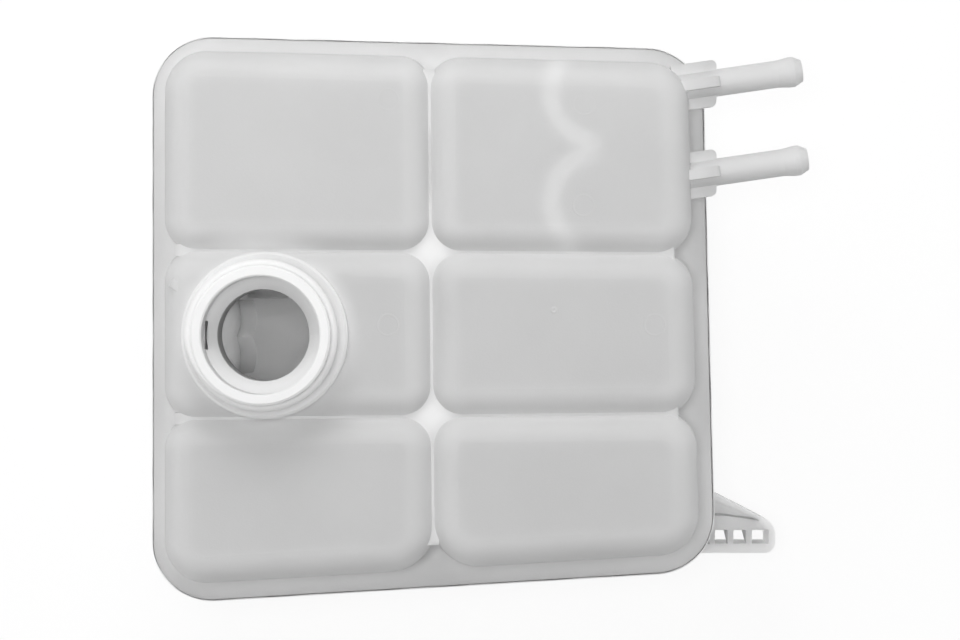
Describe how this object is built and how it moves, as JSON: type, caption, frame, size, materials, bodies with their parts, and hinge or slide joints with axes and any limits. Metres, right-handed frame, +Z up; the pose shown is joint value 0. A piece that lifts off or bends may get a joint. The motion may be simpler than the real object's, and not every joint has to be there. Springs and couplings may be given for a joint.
{
  "type": "coolant expansion tank",
  "caption": "Translucent coolant expansion tank of welded half shells with a lobed deck, open threaded filler neck, hose nipples, feed outlet and ladder bracket.",
  "frame": {"origin": "centre of the overall box in plan, on the surface the tank stands on", "axes": "+Z up, +X towards the hose nipples, +Y towards the rear"},
  "size_m": [0.2598, 0.2305, 0.14],
  "materials": {
    "shell_upper": "translucent milky polypropylene, satin",
    "shell_lower": "translucent milky polypropylene, satin"
  },
  "bodies": {
    "root": {"upper_shell": "shell_upper", "lower_shell": "shell_lower"}
  },
  "joints": []
}
